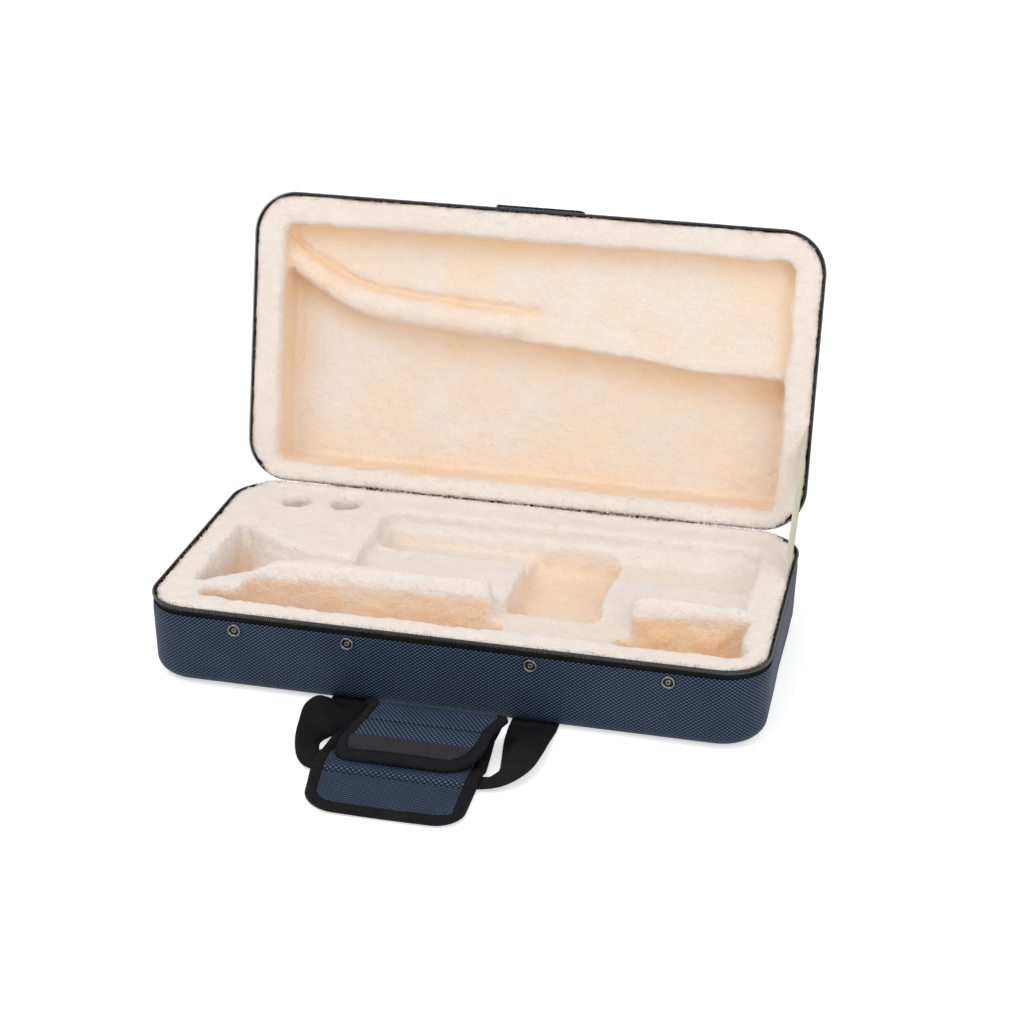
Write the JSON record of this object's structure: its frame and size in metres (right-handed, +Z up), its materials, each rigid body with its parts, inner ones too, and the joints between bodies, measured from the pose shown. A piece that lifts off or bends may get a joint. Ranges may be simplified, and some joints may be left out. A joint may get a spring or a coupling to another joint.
{
  "type": "trumpet case",
  "caption": "Soft-shell instrument case with a hinged lid, zipper rim, contoured plush bed, a stay strap and a wrapped webbing carry handle.",
  "frame": {"origin": "centre of the flat underside of the base", "axes": "+X along the case to the right, +Y to the back where the lid is hinged, +Z up"},
  "size_m": [0.5606, 0.5963, 0.3605],
  "materials": {
    "navy_weave": "matt woven nylon",
    "foam": "matt foam",
    "plush": "matt plush",
    "black_tape": "matt woven tape",
    "zipper_teeth": "satin moulded",
    "gunmetal": "dark plated, polished",
    "board": "matt",
    "webbing": "ribbed webbing",
    "binding": "ribbed tape",
    "fastener": "fuzzy loop",
    "stay_tape": "matt tape"
  },
  "bodies": {
    "base": {"base_cover": "navy_weave", "base_foam_core": "foam", "base_lining": "plush", "base_zipper_tape": "black_tape", "base_zipper_teeth": "zipper_teeth", "base_zipper_stops": "gunmetal", "base_hinge_strip": "black_tape", "base_front_board": "board", "base_anchor_straps": "webbing", "base_handle_roots": "webbing", "rivet_caps": "gunmetal", "rivet_shanks": "gunmetal", "base_ridge_rolls": "plush", "stay_strap_right": "stay_tape"},
    "lid": {"lid_cover": "navy_weave", "lid_foam_core": "foam", "lid_lining": "plush", "lid_zipper_tape": "black_tape", "lid_zipper_teeth": "zipper_teeth", "lid_zipper_stops": "gunmetal", "lid_hinge_strip": "black_tape", "lid_fastener_patch": "navy_weave", "lid_fastener_strip": "fastener"},
    "handle": {"handle_webbing": "webbing", "wrap_pad": "navy_weave", "wrap_binding_left": "binding", "wrap_binding_right": "binding"},
    "upper_flap": {"upper_flap_pad": "navy_weave", "upper_flap_binding": "binding", "upper_flap_fastener": "fastener"},
    "lower_flap": {"lower_flap_pad": "navy_weave", "lower_flap_binding": "binding"},
    "slider_left": {"zipper_slider_left": "gunmetal"},
    "slider_right": {"zipper_slider_right": "gunmetal"},
    "pull_left": {"zipper_pull_left": "gunmetal"},
    "pull_right": {"zipper_pull_right": "gunmetal"}
  },
  "joints": [
    {"name": "lid_hinge", "type": "hinge", "parent": "base", "child": "lid", "pos_m": [0, 0.1446, 0.078], "axis": [1, 0, 0], "range_deg": [0, 102], "deforming": ["stay_strap_right"]},
    {"name": "handle_swing", "type": "hinge", "parent": "base", "child": "handle", "pos_m": [0, -0.1483, 0.0014], "axis": [-1, 0, 0], "range_deg": [0, 55]},
    {"name": "upper_flap_fold", "type": "hinge", "parent": "handle", "child": "upper_flap", "pos_m": [0, -0.21167, 0.02419], "axis": [-1, 0, 0], "range_deg": [0, 70]},
    {"name": "lower_flap_fold", "type": "hinge", "parent": "handle", "child": "lower_flap", "pos_m": [0, -0.262, 0.0061], "axis": [-1, 0, 0], "range_deg": [0, 90]},
    {"name": "slider_left_travel", "type": "slide", "parent": "base", "child": "slider_left", "axis": [-1, 0, 0], "range_m": [0, 0.03]},
    {"name": "pull_left_swing", "type": "hinge", "parent": "slider_left", "child": "pull_left", "pos_m": [-0.2, 0.1501, 0.07], "axis": [1, 0, 0], "range_deg": [0, 70]},
    {"name": "slider_right_travel", "type": "slide", "parent": "base", "child": "slider_right", "axis": [1, 0, 0], "range_m": [0, 0.03]},
    {"name": "pull_right_swing", "type": "hinge", "parent": "slider_right", "child": "pull_right", "pos_m": [0.2, 0.1501, 0.07], "axis": [1, 0, 0], "range_deg": [0, 70]}
  ]
}
